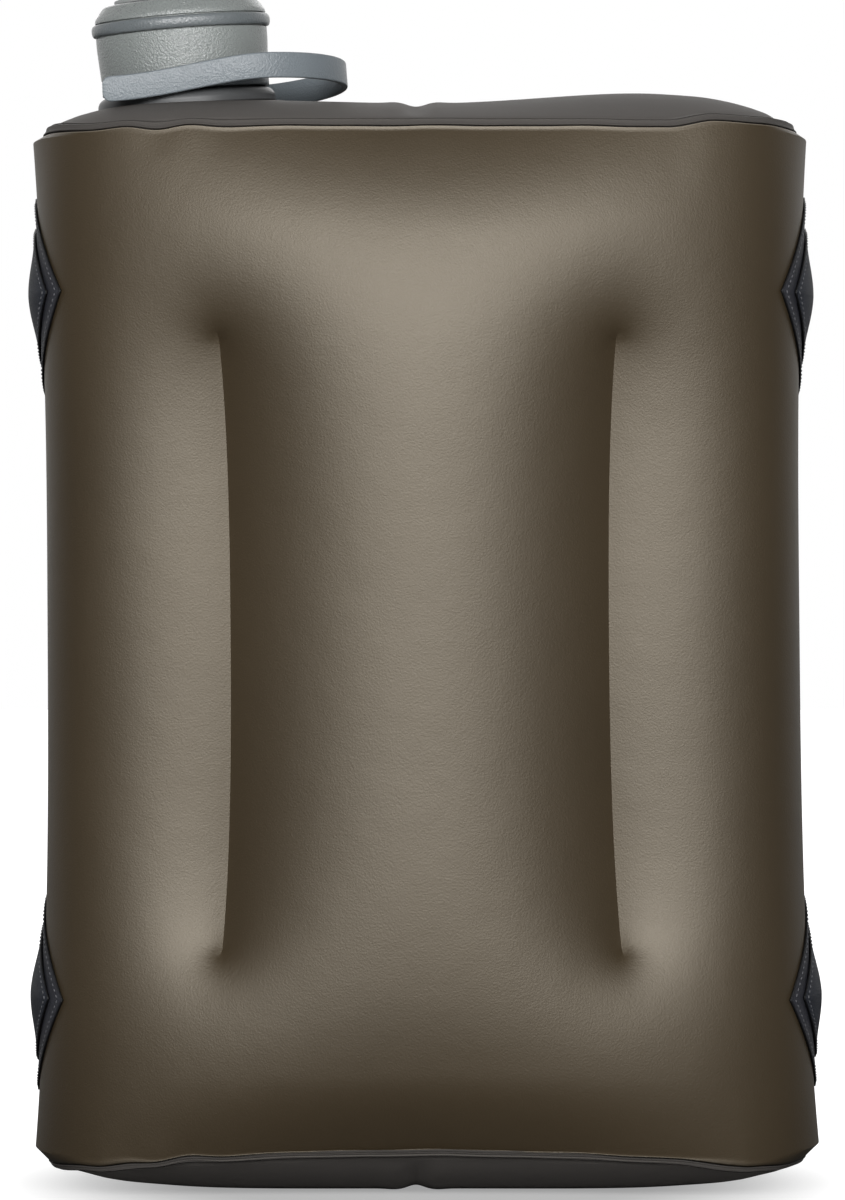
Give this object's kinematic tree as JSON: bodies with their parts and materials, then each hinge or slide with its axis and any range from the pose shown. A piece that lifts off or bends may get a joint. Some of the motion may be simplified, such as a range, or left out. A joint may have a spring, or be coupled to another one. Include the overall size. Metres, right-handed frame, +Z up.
{
  "type": "collapsible water container",
  "caption": "Soft collapsible water container with inner baffles, a wide screw cap on a leaning spout, a swinging carrying strap and lash loops on its sides.",
  "frame": {"origin": "the middle of the foot that the full bag stands on", "axes": "+Z up, along the height; the front faces -Y; the spout is on the -X half of the top"},
  "size_m": [0.2336, 0.1466, 0.3515],
  "materials": {
    "brown_film": "matt brown-grey film with a fine grain",
    "grey_film": "matt warm grey film",
    "inner_film": "smooth satin film",
    "dark_flange": "satin dark grey moulding",
    "pale_plastic": "smooth light grey moulding",
    "black_plastic": "smooth black moulding",
    "strap_plastic": "fine-grained bluish grey moulding",
    "cap_plastic": "spark-textured warm grey moulding",
    "bead_plastic": "satin bluish grey moulding",
    "disc_plastic": "satin pale grey moulding",
    "seal_rubber": "smooth pale rubber",
    "patch_fabric": "coated woven patch",
    "loop_fabric": "coated woven loop"
  },
  "bodies": {
    "bag": {"top_panel": "grey_film", "bottom_panel": "grey_film", "side_seam_left": "inner_film", "side_seam_right": "inner_film", "baffle_left": "inner_film", "baffle_right": "inner_film", "lash_patch_left_upper": "patch_fabric", "lash_patch_left_lower": "patch_fabric", "lash_patch_right_upper": "patch_fabric", "lash_patch_right_lower": "patch_fabric", "lash_loop_left_upper": "loop_fabric", "lash_loop_left_lower": "loop_fabric", "lash_loop_right_upper": "loop_fabric", "lash_loop_right_lower": "loop_fabric", "spout_flange": "dark_flange", "spout_neck": "pale_plastic", "neck_stop_ring": "black_plastic"},
    "front": {"front_panel": "brown_film"},
    "rear": {"rear_panel": "brown_film"},
    "collar": {"bail_collar": "strap_plastic"},
    "strap": {"bail_hoop": "strap_plastic"},
    "seal": {"cap_seal": "seal_rubber"},
    "cap": {"cap_shell": "cap_plastic", "cap_ring": "bead_plastic", "cap_top_disc": "disc_plastic"}
  },
  "joints": [
    {"name": "front_press", "type": "slide", "parent": "bag", "child": "front", "axis": [0, 1, 0], "range_m": [0, 0.052], "deforming": ["front_panel", "rear_panel", "top_panel", "bottom_panel", "side_seam_left", "side_seam_right", "baffle_left", "baffle_right", "lash_patch_left_upper", "lash_patch_left_lower", "lash_patch_right_upper", "lash_patch_right_lower", "lash_loop_left_upper", "lash_loop_left_lower", "lash_loop_right_upper", "lash_loop_right_lower"]},
    {"name": "rear_press", "type": "slide", "parent": "bag", "child": "rear", "axis": [0, 1, 0], "range_m": [-0.052, 0], "deforming": ["rear_panel"]},
    {"name": "bail_swivel", "type": "hinge", "parent": "bag", "child": "collar", "pos_m": [-0.0696, 0, 0.317], "axis": [-0.0785, -0.0645, 0.9948], "range_deg": [-45, 45]},
    {"name": "bail_swing", "type": "hinge", "parent": "collar", "child": "strap", "pos_m": [-0.08902, -0.0003, 0.32158], "axis": [0, -0.9979, -0.0647], "range_deg": [0, 140]},
    {"name": "cap_lift", "type": "slide", "parent": "bag", "child": "seal", "axis": [-0.0785, -0.0645, 0.9948], "range_m": [0, 0.0201]},
    {"name": "cap_turn", "type": "hinge", "parent": "seal", "child": "cap", "pos_m": [-0.0696, 0, 0.317], "axis": [-0.0785, -0.0645, 0.9948], "range_deg": [0, 900]}
  ],
  "couplings": [
    {"joint": "rear_press", "follows": "front_press", "ratio": -1},
    {"joint": "cap_lift", "follows": "cap_turn", "m_per_rad": 0.0012732}
  ]
}
